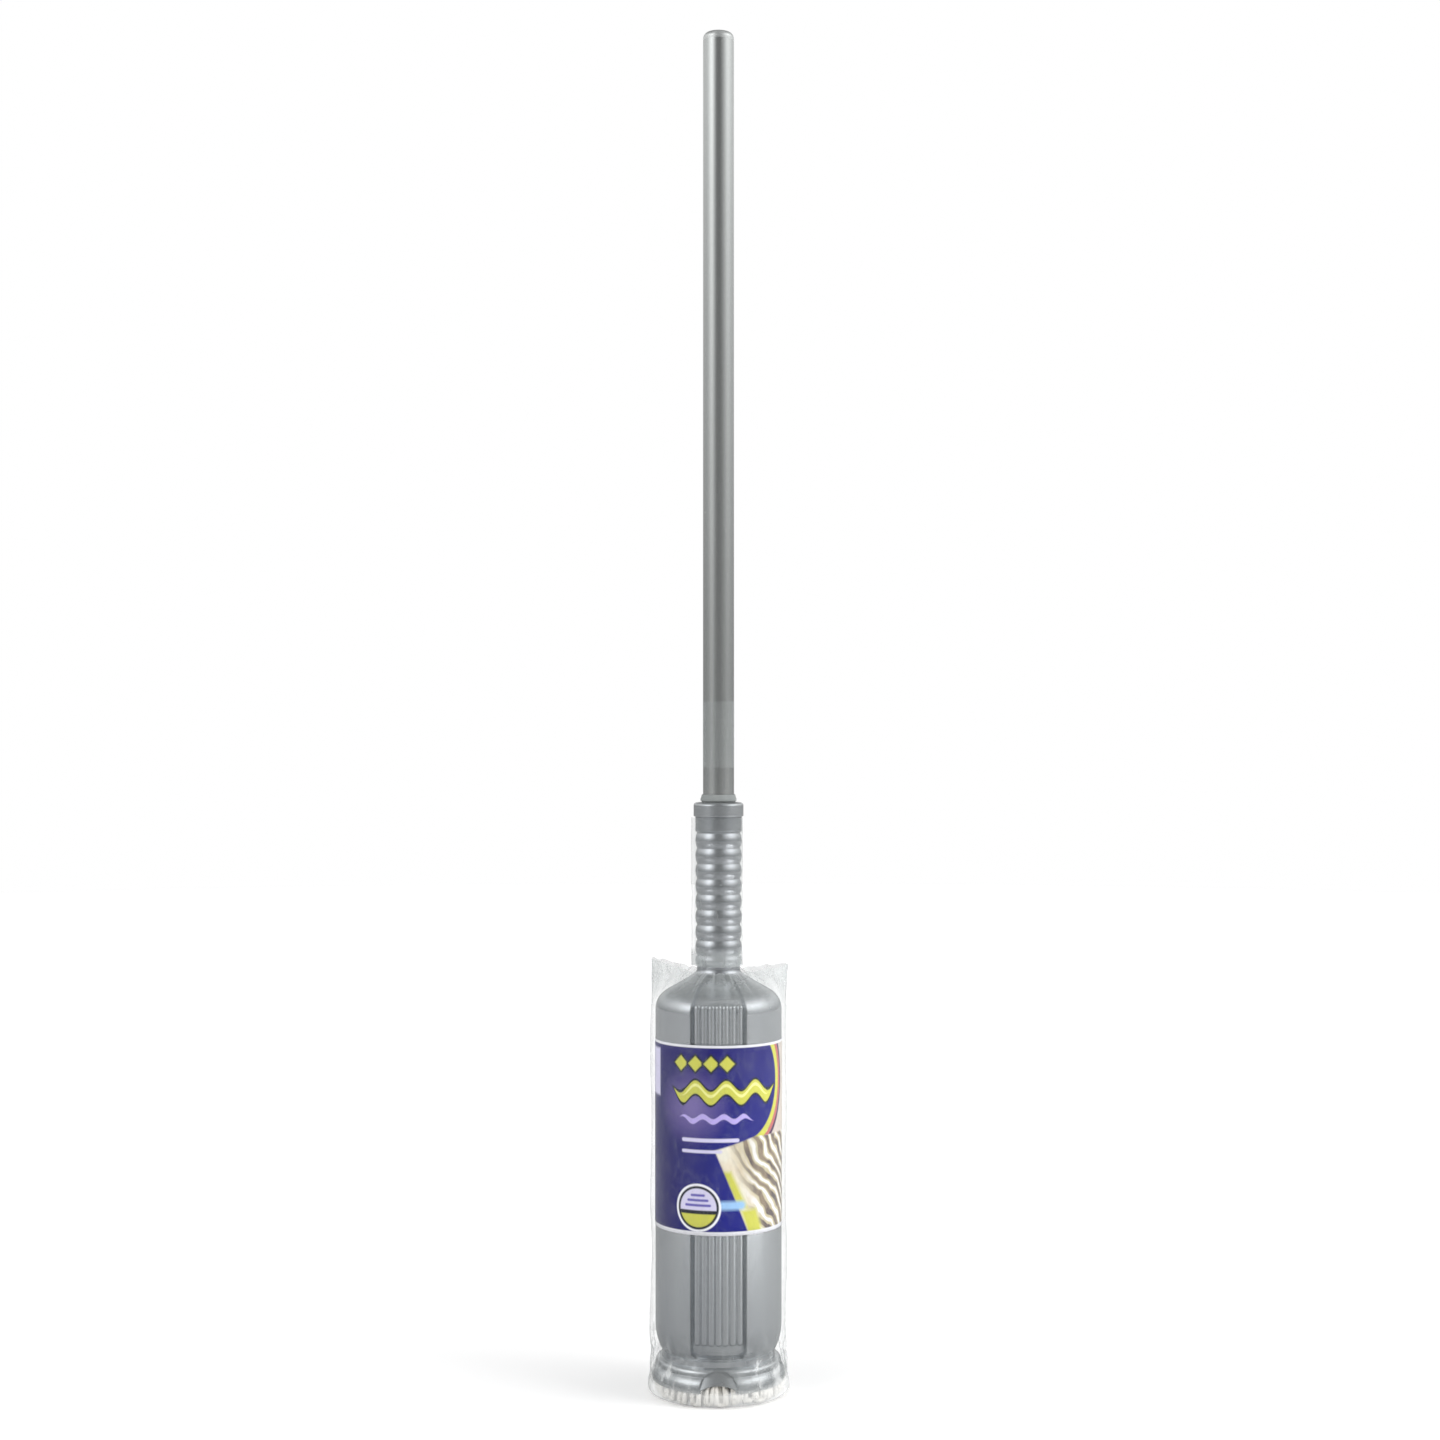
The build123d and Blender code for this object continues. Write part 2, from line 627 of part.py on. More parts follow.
def make_wrap_film():
    """Clear film sleeve round the cup, drawn in over the waist and out again round the rim."""
    outer_line = [
        (RIM_RADIUS + 0.8, RIM_BOTTOM + 1),
        (RIM_RADIUS + 0.8, 20.0),
        (50.4, 37.0),
        (FILM_RADIUS + FILM_THICKNESS, TAPER_TOP + 6),
        (FILM_RADIUS + FILM_THICKNESS, FILM_TOP),
    ]
    inner_line = [(radius - FILM_THICKNESS, height) for radius, height in reversed(outer_line)]
    with BuildPart() as wrap_film:
        turned(outer_line + inner_line)
    finish(wrap_film, "wrap_film")


make_pole_tube()
make_pole_cap()
make_head_socket()
make_socket_rivet()
make_stops()
make_mop_hub()
make_clamp_band()
make_mop_strands()
make_guide_bush()
make_friction_ring()
make_wringer_sleeve()
make_neck_collar()
make_lower_bush()
make_rim_ring()
make_label_band()
make_wrap_film()
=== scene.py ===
# %% [markdown]
# # A self-wringing mop, from its frame to its finish
# The frame holds every hard part of the mop at its true size and place. This lesson adds what
# the frame can't hold: cotton yarn, clear film, a printed band, and a finish for each surface.
# Places are worked out from the frame's own boxes, in metres, so the new pieces stay in step with
# the hard ones.

# %% Load the frame and keep its size
import math
import random

import bpy
import numpy as np
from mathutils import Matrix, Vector, noise


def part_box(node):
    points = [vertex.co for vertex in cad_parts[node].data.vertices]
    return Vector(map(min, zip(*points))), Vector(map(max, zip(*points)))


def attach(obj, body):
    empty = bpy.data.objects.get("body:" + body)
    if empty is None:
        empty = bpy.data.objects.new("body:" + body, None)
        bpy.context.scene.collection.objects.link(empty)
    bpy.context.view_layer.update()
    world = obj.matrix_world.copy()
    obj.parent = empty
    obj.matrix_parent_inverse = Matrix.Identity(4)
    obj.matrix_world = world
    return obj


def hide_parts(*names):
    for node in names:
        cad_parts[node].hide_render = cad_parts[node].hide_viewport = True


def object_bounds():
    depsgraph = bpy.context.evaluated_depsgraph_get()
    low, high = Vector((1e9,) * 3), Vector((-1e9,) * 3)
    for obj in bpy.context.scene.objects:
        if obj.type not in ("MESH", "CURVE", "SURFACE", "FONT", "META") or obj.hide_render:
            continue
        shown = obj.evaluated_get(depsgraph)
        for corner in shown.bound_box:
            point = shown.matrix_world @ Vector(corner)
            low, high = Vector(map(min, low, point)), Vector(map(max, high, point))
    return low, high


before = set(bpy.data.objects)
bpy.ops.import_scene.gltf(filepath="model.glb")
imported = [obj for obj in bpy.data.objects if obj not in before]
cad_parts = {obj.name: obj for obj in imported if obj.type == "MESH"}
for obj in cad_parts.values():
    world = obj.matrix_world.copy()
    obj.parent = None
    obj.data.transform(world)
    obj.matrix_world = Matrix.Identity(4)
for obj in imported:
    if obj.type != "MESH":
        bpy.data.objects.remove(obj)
cad_low, cad_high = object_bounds()
TOP = cad_high.z
MM = 0.001
print("nodes", len(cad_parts), "height", round(TOP, 4))


def middle_radius(node):
    """Half the width of a round node, in metres."""
    low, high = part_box(node)
    return (high[0] - low[0]) / 2


POLE_RADIUS = middle_radius("pole_tube")
BAND_RADIUS = middle_radius("label_band")
RIM_RADIUS = middle_radius("rim_ring")
NECK_RADIUS = middle_radius("neck_collar")
print("pole radius", round(POLE_RADIUS, 4), "band radius", round(BAND_RADIUS, 4))

# %% [markdown]
# ## Camera
# A product picture of something this tall is taken from about two metres, level with its
# middle. A level camera keeps the pole's sides parallel, and its height decides how round the
# band's edges look. Height and distance are shares of the mop's own height.

# %% Camera
EYE_HEIGHT = 0.494 * TOP
EYE_DISTANCE = 1.748 * TOP
EYE_SIDE = 1.2 * MM
FIELD_OF_VIEW = math.radians(33.73)

camera = bpy.data.objects.new("camera", bpy.data.cameras.new("camera"))
bpy.context.collection.objects.link(camera)
camera.location = (EYE_SIDE, -EYE_DISTANCE, EYE_HEIGHT)
camera.rotation_euler = (math.radians(90), 0, 0)
camera.data.angle = FIELD_OF_VIEW
bpy.context.scene.camera = camera
bpy.context.scene.view_settings.view_transform = "Standard"
print("camera", [round(part, 3) for part in camera.location])

# %% [markdown]
# ## Writing a material as arithmetic
# A shader is a sum on every point of a surface. Nodes can be wired one by one, but a formula is
# easier to read, so one small class wraps a socket and answers to + - * /. Colours and vectors
# have their own nodes, because a Math node would turn them grey.

# %% A socket that does arithmetic
class Field:
    """A number that varies over a surface."""

    def __init__(self, finish, socket):
        self.finish = finish
        self.socket = socket

    def maths(self, operation, *others, clamp=False):
        settings = {"operation": operation, "use_clamp": clamp}
        return self.finish.node("Math", settings, dict(enumerate((self, *others))))

    def __add__(self, other):
        return self.maths("ADD", other)

    def __sub__(self, other):
        return self.maths("SUBTRACT", other)

    def __rsub__(self, other):
        return (self * -1) + other

    def __mul__(self, other):
        return self.maths("MULTIPLY", other)

    def __truediv__(self, other):
        return self.maths("DIVIDE", other)

    def __pow__(self, other):
        return self.maths("POWER", other)

    def __abs__(self):
        return self.maths("ABSOLUTE")

    __radd__ = __add__
    __rmul__ = __mul__

    def sin(self):
        return self.maths("SINE")

    def least(self, other):
        return self.maths("MINIMUM", other)

    def most(self, other):
        return self.maths("MAXIMUM", other)

    def ramp(self, start, end):
        """0 at start and before it, 1 at end and past it."""
        return ((self - start) / (end - start)).maths("ADD", 0.0, clamp=True)


# %% [markdown]
# ## A finish
# One method adds every node: it takes the node's type, its settings and what goes into its
# sockets. Settings come first, because some of them change which sockets a node has. A finish is
# a material with these nodes and one shader, and the sky later on uses the same nodes.

# %% A finish and its nodes
class Nodes:
    """A node tree, emptied, with the one method that fills it again."""

    def __init__(self, owner, coordinates):
        owner.use_nodes = True
        self.tree = owner.node_tree
        self.tree.nodes.clear()
        self.place = Field(self, self.tree.nodes.new("ShaderNodeTexCoord").outputs[coordinates])
        split = self.tree.nodes.new("ShaderNodeSeparateXYZ")
        self.tree.links.new(self.place.socket, split.inputs[0])
        self.x, self.y, self.z = (Field(self, split.outputs[axis]) for axis in range(3))

    def join(self, socket, value):
        if isinstance(value, Field):
            self.tree.links.new(value.socket, socket)
        else:
            socket.default_value = value

    def node(self, kind, settings, values, output=0):
        made = self.tree.nodes.new("ShaderNode" + kind)
        for name, value in settings.items():
            setattr(made, name, value)
        for name, value in values.items():
            self.join(made.inputs[name], value)
        return Field(self, made.outputs[output])

    def mix(self, share, first, second):
        """One colour turning into another as share goes from 0 to 1."""
        slots = {0: share, 6: first, 7: second}
        return self.node("Mix", {"data_type": "RGBA"}, slots, output=2)

    def around(self, radius):
        """Distance round the upright axis from the front, in the unit of radius."""
        return self.x.maths("ARCTAN2", self.y * -1) * radius

    def show(self, shader, kind):
        """Ends the tree in an output of the kind that its owner needs."""
        output = self.tree.nodes.new("ShaderNodeOutput" + kind)
        self.tree.links.new(shader.outputs[0], output.inputs["Surface"])


class Finish(Nodes):
    """A procedural material built round one Principled shader."""

    def __init__(self, name, **constants):
        self.material = bpy.data.materials.new(name)
        super().__init__(self.material, "Object")
        self.shader = self.tree.nodes.new("ShaderNodeBsdfPrincipled")
        for socket, value in constants.items():
            self.shader.inputs[socket.replace("_", " ")].default_value = value
        self.show(self.shader, "Material")

    def noise(self, scale, detail=3.0, stretch=(1, 1, 1), roughness=0.5):
        """Cloudy variation from 0 to 1, finer as scale grows."""
        where = self.node("Mapping", {}, {"Vector": self.place, "Scale": stretch})
        values = {"Vector": where, "Scale": scale, "Detail": detail, "Roughness": roughness}
        return self.node("TexNoise", {}, values)

    def bump(self, height, distance, strength=1.0, edge_radius=0.0):
        """Fine relief, over edges that shine as if they were rounded by edge_radius."""
        values = {"Height": height, "Distance": distance, "Strength": strength}
        if edge_radius > 0:
            values["Normal"] = self.node("Bevel", {"samples": 6}, {"Radius": edge_radius})
        self.set("Normal", self.node("Bump", {}, values))

    def set(self, socket, value):
        self.join(self.shader.inputs[socket], value)


def colour(red, green, blue):
    """A screen colour, 0 to 255, as the linear light that a shader works in."""
    shares = [part / 255 for part in (red, green, blue)]
    linear = [part / 12.92 if part <= 0.04045 else ((part + 0.055) / 1.055) ** 2.4 for part in shares]
    return (*linear, 1.0)


def dress(node, finish):
    """Gives a node of the frame its finish."""
    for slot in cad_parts[node].material_slots:
        slot.material = finish.material
    print("dressed", node, "in", finish.material.name)


# %% [markdown]
# ## Silver paint
# The pole is a thin steel tube sprayed with metallic paint and glazed. Under the gloss the
# flakes are never level, so the base is rougher than the coat. The roller that fed the tube left
# faint lines along it, and handling left a few short scratches.

# %% Silver paint on the pole
paint = Finish("silver_paint", Metallic=0.9, Coat_Weight=0.3, Coat_Roughness=0.08)
flake = paint.noise(2600, 2.0)
drawn = paint.noise(900, 4.0, (1, 1, 0.01))
handled = paint.noise(14, 5.0, (1, 1, 0.35)).ramp(0.45, 0.75)
scratch = paint.noise(420, 2.0, (1, 0.2, 3.0)).ramp(0.70, 0.76) * handled
tone = paint.mix(flake.ramp(0.3, 0.7), colour(178, 181, 180), colour(202, 205, 204))
paint.set("Base Color", paint.mix(scratch * 0.35, tone, colour(120, 124, 124)))
paint.set("Roughness", 0.15 + drawn * 0.06 + handled * 0.06 + scratch * 0.2)
paint.bump(drawn * 0.5 + flake * 0.3 - scratch, 0.04 * MM, 0.35)
dress("pole_tube", paint)

# %% [markdown]
# ## Moulded silver cap
# The end cap is plastic in the tube's colour. It has no drawn lines, is a little softer in its
# shine, and is worn dull on top where the mop leans on walls.

# %% Cap finish
cap = Finish("silver_cap", Metallic=0.6, Coat_Weight=0.25, Coat_Roughness=0.2)
rubbed = cap.z.ramp(TOP - 4 * MM, TOP) * cap.noise(260, 4.0).ramp(0.35, 0.7)
cap.set("Base Color", cap.mix(rubbed, colour(206, 209, 208), colour(178, 181, 180)))
cap.set("Roughness", 0.3 + rubbed * 0.25)
cap.bump(cap.noise(700, 3.0) - rubbed * 0.4, 0.05 * MM, 0.3)
dress("pole_cap", cap)

# %% [markdown]
# ## Glossy grey plastic
# The sleeve, its collar and the rim ring are moulded in one pearly grey. A moulding is never
# quite even: the melt leaves soft cloudy streaks along the flow, the surface has a slight orange
# peel, and two parting lines run up the sides where the mould halves met. The pearl lies flatter
# up the narrow neck, so the neck shines more like metal than the cup does.

# %% Grey plastic
PARTING_WIDTH = 0.5 * MM
PEEL_DEPTH = 0.06 * MM
MOULDED_EDGE = 1.1 * MM
NECK_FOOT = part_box("wrap_film")[1][2]
PEARL_RISE = 20 * MM
GREY_METALLIC = 0.8


def grey_plastic(name, light, dark, pearl=0.0, parting=True):
    """The sleeve's plastic between two tones, with or without the mould's parting lines."""
    grey = Finish(name, Metallic=GREY_METALLIC, Specular_IOR_Level=0.5, Coat_Weight=0.5, Coat_Roughness=0.05)
    flow = grey.noise(22, 4.0, (1, 1, 0.12))
    peel = grey.noise(420, 2.0)
    fine = grey.noise(3000, 2.0)
    scuff = grey.noise(300, 3.0, (1, 1, 0.15)).ramp(0.66, 0.74) * grey.noise(9, 2.0).ramp(0.5, 0.7)
    tone = grey.mix(flow.ramp(0.3, 0.7), dark, light)
    grey.set("Base Color", grey.mix(scuff * 0.3, tone, colour(190, 192, 192)))
    if pearl > 0:
        grey.set("Metallic", GREY_METALLIC + grey.z.ramp(NECK_FOOT, NECK_FOOT + PEARL_RISE) * pearl)
    grey.set("Roughness", 0.17 + fine * 0.05 + scuff * 0.25 + flow * 0.05)
    height = peel * 0.5 + fine * 0.1 - scuff * 0.3
    if parting:
        line = 1 - abs(grey.y).ramp(0, PARTING_WIDTH)
        height = height + line * 1.5
    grey.bump(height, PEEL_DEPTH, 0.4, MOULDED_EDGE)
    return grey


sleeve_grey = grey_plastic("sleeve_grey", colour(190, 194, 196), colour(174, 178, 183), pearl=0.18)
trim_grey = grey_plastic("trim_grey", colour(190, 194, 195), colour(174, 178, 181), parting=False)
dress("wringer_sleeve", sleeve_grey)
dress("neck_collar", trim_grey)
dress("rim_ring", trim_grey)

# %% [markdown]
# ## Plain plastic, steel and rubber
# The bushes, the socket and the hub are unpolished mouldings with a spark-eroded grain. The pins
# and bands are zinc plated, which spangles and brushes. The O-ring is dull and dusty.

# %% Plain inner materials
def grained_plastic(name, light, dark):
    """Unpolished moulded plastic with a fine even grain."""
    plain = Finish(name, Specular_IOR_Level=0.4)
    grain = plain.noise(1600, 3.0)
    cloud = plain.noise(60, 3.0)
    plain.set("Base Color", plain.mix(cloud.ramp(0.3, 0.7), dark, light))
    plain.set("Roughness", 0.45 + grain * 0.2)
    plain.bump(grain, PEEL_DEPTH, 0.5, MOULDED_EDGE / 2)
    return plain


bush_plastic = grained_plastic("bush_plastic", colour(150, 154, 153), colour(134, 138, 138))
inner_plastic = grained_plastic("inner_plastic", colour(176, 178, 180), colour(160, 162, 164))
for node in ("guide_bush", "lower_bush"):
    dress(node, bush_plastic)
for node in ("head_socket", "mop_hub"):
    dress(node, inner_plastic)

steel = Finish("zinc_plate", Metallic=1.0)
brushed = steel.noise(900, 3.0, (1, 1, 8.0))
spangle = steel.noise(160, 2.0).ramp(0.35, 0.65)
steel.set("Base Color", steel.mix(spangle, colour(178, 180, 178), colour(204, 205, 202)))
steel.set("Roughness", 0.28 + brushed * 0.18)
steel.bump(brushed, 0.04 * MM, 0.4)
for node in ("socket_rivet", "stop_pin", "stop_washer", "clamp_band"):
    dress(node, steel)

rubber = Finish("dull_rubber", Specular_IOR_Level=0.3)
dust = rubber.noise(500, 4.0).ramp(0.45, 0.8)
rubber.set("Base Color", rubber.mix(dust * 0.4, colour(28, 28, 28), colour(92, 92, 90)))
rubber.set("Roughness", 0.62 + dust * 0.25)
rubber.bump(dust, 0.05 * MM, 0.4)
dress("friction_ring", rubber)

# %% [markdown]
# ## Mesh helpers
# A strand, a film or a band is a grid of points bent into shape. One helper turns rows of points
# into a mesh, so each piece only has to say where its points go.

# %% Grids of points
def add_piece(name, points, faces, finish, body):
    """A smooth piece that rides on a body and takes its finish from a slot."""
    mesh = bpy.data.meshes.new(name)
    mesh.from_pydata([tuple(point) for point in points], [], faces)
    mesh.polygons.foreach_set("use_smooth", [True] * len(mesh.polygons))
    mesh.materials.append(finish.material)
    piece = bpy.data.objects.new(name, mesh)
    bpy.context.collection.objects.link(piece)
    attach(piece, body)
    print(name, len(mesh.polygons), "faces")
    return piece


def round_point(angle, radius, height):
    """A point round the pole, with the angle counted from the front."""
    return radius * math.sin(angle), -radius * math.cos(angle), height


def within(value):
    """A value held between 0 and 1."""
    return max(0.0, min(1.0, value))


def grid_faces(rows, columns, closed, offset=0):
    """Faces between neighbouring rows, closed round or open at the side."""
    faces = []
    for row in range(rows - 1):
        for column in range(columns if closed else columns - 1):
            following = (column + 1) % columns
            low, high = offset + row * columns, offset + (row + 1) * columns
            faces.append((low + column, low + following, high + following, high + column))
    return faces


# %% [markdown]
# ## Cotton yarn
# Mop yarn is a few soft plies twisted together, undyed and fuzzy. The twist is real shape, so it
# is built in the mesh. The fuzz is too fine for that and is left to the bump and a little sheen.

# %% Cotton finish
cotton = Finish("cotton_yarn", Specular_IOR_Level=0.15, Sheen_Weight=0.35, Sheen_Roughness=0.5)
fibre = cotton.noise(2200, 4.0, (1, 1, 0.5))
strand_tone = cotton.noise(130, 2.0, (1, 1, 0.08))
speck = cotton.noise(700, 2.0).ramp(0.70, 0.76)
cream = cotton.mix(strand_tone.ramp(0.35, 0.65), colour(216, 212, 204), colour(233, 230, 224))
cotton.set("Base Color", cotton.mix(speck * 0.35, cream, colour(170, 156, 130)))
cotton.set("Roughness", 0.85 + fibre * 0.12)
cotton.bump(fibre, 0.25 * MM, 0.7)
print("cotton nodes", len(cotton.tree.nodes))

# %% [markdown]
# ## Strands
# The strands hang from the hub in rings. Outer strands come from under the clamp band, inner
# ones from below the hub. Each pair is one length of yarn that turns back at the foot, so the
# tuft under the rim is made of loops, and the outer loops bend out over the floor.

# %% Where the strands run
hub_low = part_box("mop_hub")[0]
clamp_low, clamp_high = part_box("clamp_band")
rim_low, rim_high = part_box("rim_ring")
foot_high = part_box("mop_strands")[1]
YARN_RADIUS = 2.35 * MM
RING_PITCH = 4.3 * MM
BUNDLE_RADIUS = 41.0 * MM - YARN_RADIUS
NECK_OF_BUNDLE = BUNDLE_RADIUS * 0.5
SPREAD = foot_high[0] - YARN_RADIUS - 1.2 * MM
STRANDS_TOP = foot_high[2] - 1.5 * MM
UNDER_HUB = hub_low[2] - 3 * MM
RIM_FOOT = rim_low[2]
WAIST_HEIGHT = rim_high[2] + 3 * MM
CLAMPED_RADIUS = 22.4 * MM
CROWN_SWELL = 1.6 * MM
CROWN_LENGTH = 46 * MM
SETTLING_LENGTH = 50 * MM
SWAY_LENGTH = 100 * MM
SWAY_WAVES = 17
STRAIGHT_FOOT = 26 * MM
TURN_TOP = 22 * MM
TURN_SWING = math.radians(128)
random.seed(7)
print("yarn from", round(STRANDS_TOP, 4), "down, spread to", round(SPREAD, 4))


def strand_line(angle, ring_radius, reach, foot, sway):
    """Points down one strand, from the hub to its turn at the foot."""
    outer = ring_radius > NECK_OF_BUNDLE
    top = STRANDS_TOP if outer else UNDER_HUB
    crown = np.linspace(top, top - CROWN_LENGTH, 14)
    fall = np.linspace(top - SETTLING_LENGTH, STRAIGHT_FOOT, 34)
    heights = np.concatenate([crown, fall])
    depth = top - heights
    down = np.clip(depth / SETTLING_LENGTH, 0, 1)
    held = CLAMPED_RADIUS + CROWN_SWELL * np.clip((heights - clamp_high[2]) / (6 * MM), 0, 1)
    eased = np.clip((clamp_low[2] - heights) / (22 * MM), 0, 1)
    eased = eased * eased * (3 - 2 * eased)
    radii = held + (ring_radius - held) * eased if outer else ring_radius * (0.75 + 0.25 * down)
    turn = angle + sway * np.sin(depth * SWAY_WAVES) * np.clip(depth / SWAY_LENGTH, 0, 1)
    body = np.column_stack([radii * np.sin(turn), -radii * np.cos(turn), heights])
    share = np.linspace(0.08, 1, 12)
    radius = ring_radius + (reach - ring_radius) * np.sin(share * TURN_SWING) ** 1.3
    height = foot + (TURN_TOP - foot) * (1 + np.cos(share * math.pi)) / 2
    end_turn = turn[-1] + (angle - turn[-1]) * share
    tail = np.column_stack([radius * np.sin(end_turn), -radius * np.cos(end_turn), height])
    return np.vstack([body, tail])


# %% [markdown]
# A ply's edge turns round the strand as it runs along it. Three lobes on the outline that slowly
# rotate give the rope look. The outline is smaller under the clamp, where the yarn is crushed.

# %% Twisted tubes along a line
PLIES = 3
PLY_DEPTH = 0.14
SIDES = 9
TWIST_LENGTH = 15 * MM
CRUSHED = 0.62
SKEW = (0.31, 0.95, 0.05)


def twisted_tube(line, radius, phase):
    """Points round a line, with the outline's three lobes turning along it."""
    steps = np.gradient(line, axis=0)
    steps /= np.linalg.norm(steps, axis=1)[:, None]
    side = np.cross(steps, SKEW)
    side /= np.linalg.norm(side, axis=1)[:, None]
    other = np.cross(steps, side)
    run = np.concatenate([[0], np.cumsum(np.linalg.norm(np.diff(line, axis=0), axis=1))])
    rows = []
    for number, centre in enumerate(line):
        under_clamp = clamp_low[2] - 3 * MM < centre[2] < clamp_high[2] + 3 * MM
        size = radius * CRUSHED if under_clamp else radius
        spin = phase + run[number] / TWIST_LENGTH * 2 * math.pi / PLIES
        for corner in range(SIDES):
            angle = 2 * math.pi * corner / SIDES
            out = size * (1 - PLY_DEPTH + PLY_DEPTH * math.cos(PLIES * (angle - spin)))
            across_line = side[number] * math.cos(angle) + other[number] * math.sin(angle)
            rows.append(centre + across_line * out)
    return rows


def loop_line(first, second, foot):
    """One strand down, round its turn at the foot, and back up the next strand."""
    a, b = first[-1], second[-1]
    middle = (a + b) / 2
    outward = middle * (1, 1, 0)
    outward = outward / max(np.linalg.norm(outward), 1e-6)
    half = (b - a) / 2
    bulge = outward * np.linalg.norm(half) * 0.8
    angles = [math.pi * step / 6 for step in range(1, 6)]
    turn = np.array([middle - half * math.cos(angle) + bulge * math.sin(angle) for angle in angles])
    turn[:, 2] = np.maximum(turn[:, 2], foot)
    return np.vstack([first, turn, second[::-1]])


# %% [markdown]
# No two strands lie quite alike, so each pair draws its own reach, foot and sway at random. The
# draws start from a fixed seed, so the same tuft comes out every time.

# %% The whole tuft
def make_ring(number, ring_radius):
    """One ring of looped strands as one piece."""
    count = 2 * max(2, round(math.pi * ring_radius / RING_PITCH))
    points, faces = [], []
    share = ring_radius / BUNDLE_RADIUS
    for pair in range(count // 2):
        reach = ring_radius + (SPREAD - ring_radius) * share**1.2 * random.uniform(0.72, 1.0)
        foot = YARN_RADIUS * 1.05 + random.uniform(0, 4.5) ** 1.2 * 0.6 * MM
        sway = random.uniform(-0.05, 0.05)
        spacing = 2 * math.pi / count
        angles = [(2 * pair + end + random.uniform(-0.3, 0.3)) * spacing for end in (0, 1)]
        lines = [strand_line(angle, ring_radius, reach, foot, sway) for angle in angles]
        line = loop_line(lines[0], lines[1], foot)
        offset = len(points)
        points += twisted_tube(line, YARN_RADIUS, random.uniform(0, 6))
        faces += grid_faces(len(line), SIDES, True, offset)
        last = offset + (len(line) - 1) * SIDES
        faces += [tuple(range(offset, offset + SIDES))[::-1], tuple(range(last, last + SIDES))]
    piece = add_piece(f"mop_yarn_{number}", points, faces, cotton, "pole")
    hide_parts("mop_strands")
    return piece


ring_radius = BUNDLE_RADIUS
ring_number = 1
while ring_radius > YARN_RADIUS:
    make_ring(ring_number, ring_radius)
    ring_radius -= RING_PITCH
    ring_number += 1

# %% [markdown]
# ## The printed band
# The band is glossy printed stock, rolled round the cup and lapped over itself at the back. A
# picture file would be the quick way, but shapes drawn by formula stay sharp at any size. Each
# shape is a distance from its edge, and paint goes on where that distance is below zero. It
# carries plain shapes only: diamonds, waves, pale bars and a round badge.

# %% Shapes on the band, in millimetres round and up
band_low, band_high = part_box("label_band")
BAND_HEIGHT = (band_high[2] - band_low[2]) / MM
printed = Finish("printed_band", Specular_IOR_Level=0.15, Coat_Weight=0.08, Coat_Roughness=0.08)
across = printed.around(BAND_RADIUS / MM)
up = (printed.z - band_low[2]) / MM
print("band height in mm", round(BAND_HEIGHT, 1))


def disc(centre_across, centre_up, radius):
    """Distance to a round shape's edge."""
    squared = (across - centre_across) ** 2 + (up - centre_up) ** 2
    return squared.maths("SQRT") - radius


def bar(centre_across, centre_up, half_width, half_height):
    """Distance to a bar with round ends."""
    beyond = (abs(across - centre_across) - (half_width - half_height)).most(0)
    squared = beyond**2 + (up - centre_up) ** 2
    return squared.maths("SQRT") - half_height


def diamond(centre_across, centre_up, reach):
    """Distance to a square stood on its corner."""
    return (abs(across - centre_across) + abs(up - centre_up) - reach) * math.sqrt(0.5)


def wave(centre_up, height, length, half_height, start, end):
    """Distance to a ribbon that rises and falls, thinner towards its ends."""
    lift = (across / length * 2 * math.pi).sin() * height
    fade = across.ramp(start, start + 14) * (1 - across.ramp(end - 14, end))
    return abs(up - centre_up - lift) - (fade * (half_height + 1.2) - 1.2)


def over(under, distance, paint_colour, soft=0.5):
    """Paint laid over what is under it, inside a shape."""
    return printed.mix(1 - distance.ramp(-soft, soft), under, paint_colour)


def box(centre_across, centre_up, half_width, half_height):
    """Distance, near enough, to an upright box's edge."""
    return (abs(across - centre_across) - half_width).most(abs(up - centre_up) - half_height)


# %% [markdown]
# A print starts with its ground. This one runs from violet at the left to blue, with a soft pale
# glow behind the middle and a pale tab that comes round from the left.

# %% Inks and ground
NIGHT = colour(14, 0, 84)
BLUE = colour(8, 14, 120)
VIOLET = colour(20, 4, 94)
LAVENDER = colour(160, 142, 200)
PALE = colour(206, 202, 228)
LEAF = colour(194, 194, 80)
INK = colour(26, 30, 42)
WHITE = colour(236, 236, 242)

ground = printed.mix(across.ramp(-50, 6), NIGHT, BLUE)
ground = printed.mix(up.ramp(60, 150) * 0.6, ground, VIOLET)
glow = 1 - disc(-22, 103, 0).ramp(4, 34)
ground = printed.mix(glow * 0.45, ground, LAVENDER)
ground = over(ground, box(-68, 127, 9, 19), PALE, 1.2)
print("nodes for the ground", len(printed.tree.nodes))

# %% [markdown]
# The picture area at the lower right has a slanting left edge and a rising top edge. Its stripes
# are the sine of a slanting distance. Noise is added to that distance before the sine is taken,
# so the stripes sweep and waver like wet strands on pale cloth.

# %% Picture area
PICTURE_END = 104
PICTURE_TOP = 68
EDGE_SLANT = 0.42
TOP_RISE = 0.3
STRIPES_PER_MM = 0.62

slant = across - (PICTURE_TOP - up).most(0) * EDGE_SLANT + 3
top_edge = up - PICTURE_TOP - (across + 3) * TOP_RISE
off_picture = (slant * -1).most(top_edge).most(across - PICTURE_END)
weave = printed.noise(90, 3.0, (1, 1, 0.6))
drift = printed.noise(28, 2.0) * 26
sweep = (across * 0.8 + up * 0.7 + drift + weave * 5) * STRIPES_PER_MM
sweep = sweep.sin() * (0.55 + weave * 0.9)
beyond_cloth = (across + (up - 40) * TOP_RISE).ramp(16, 32)

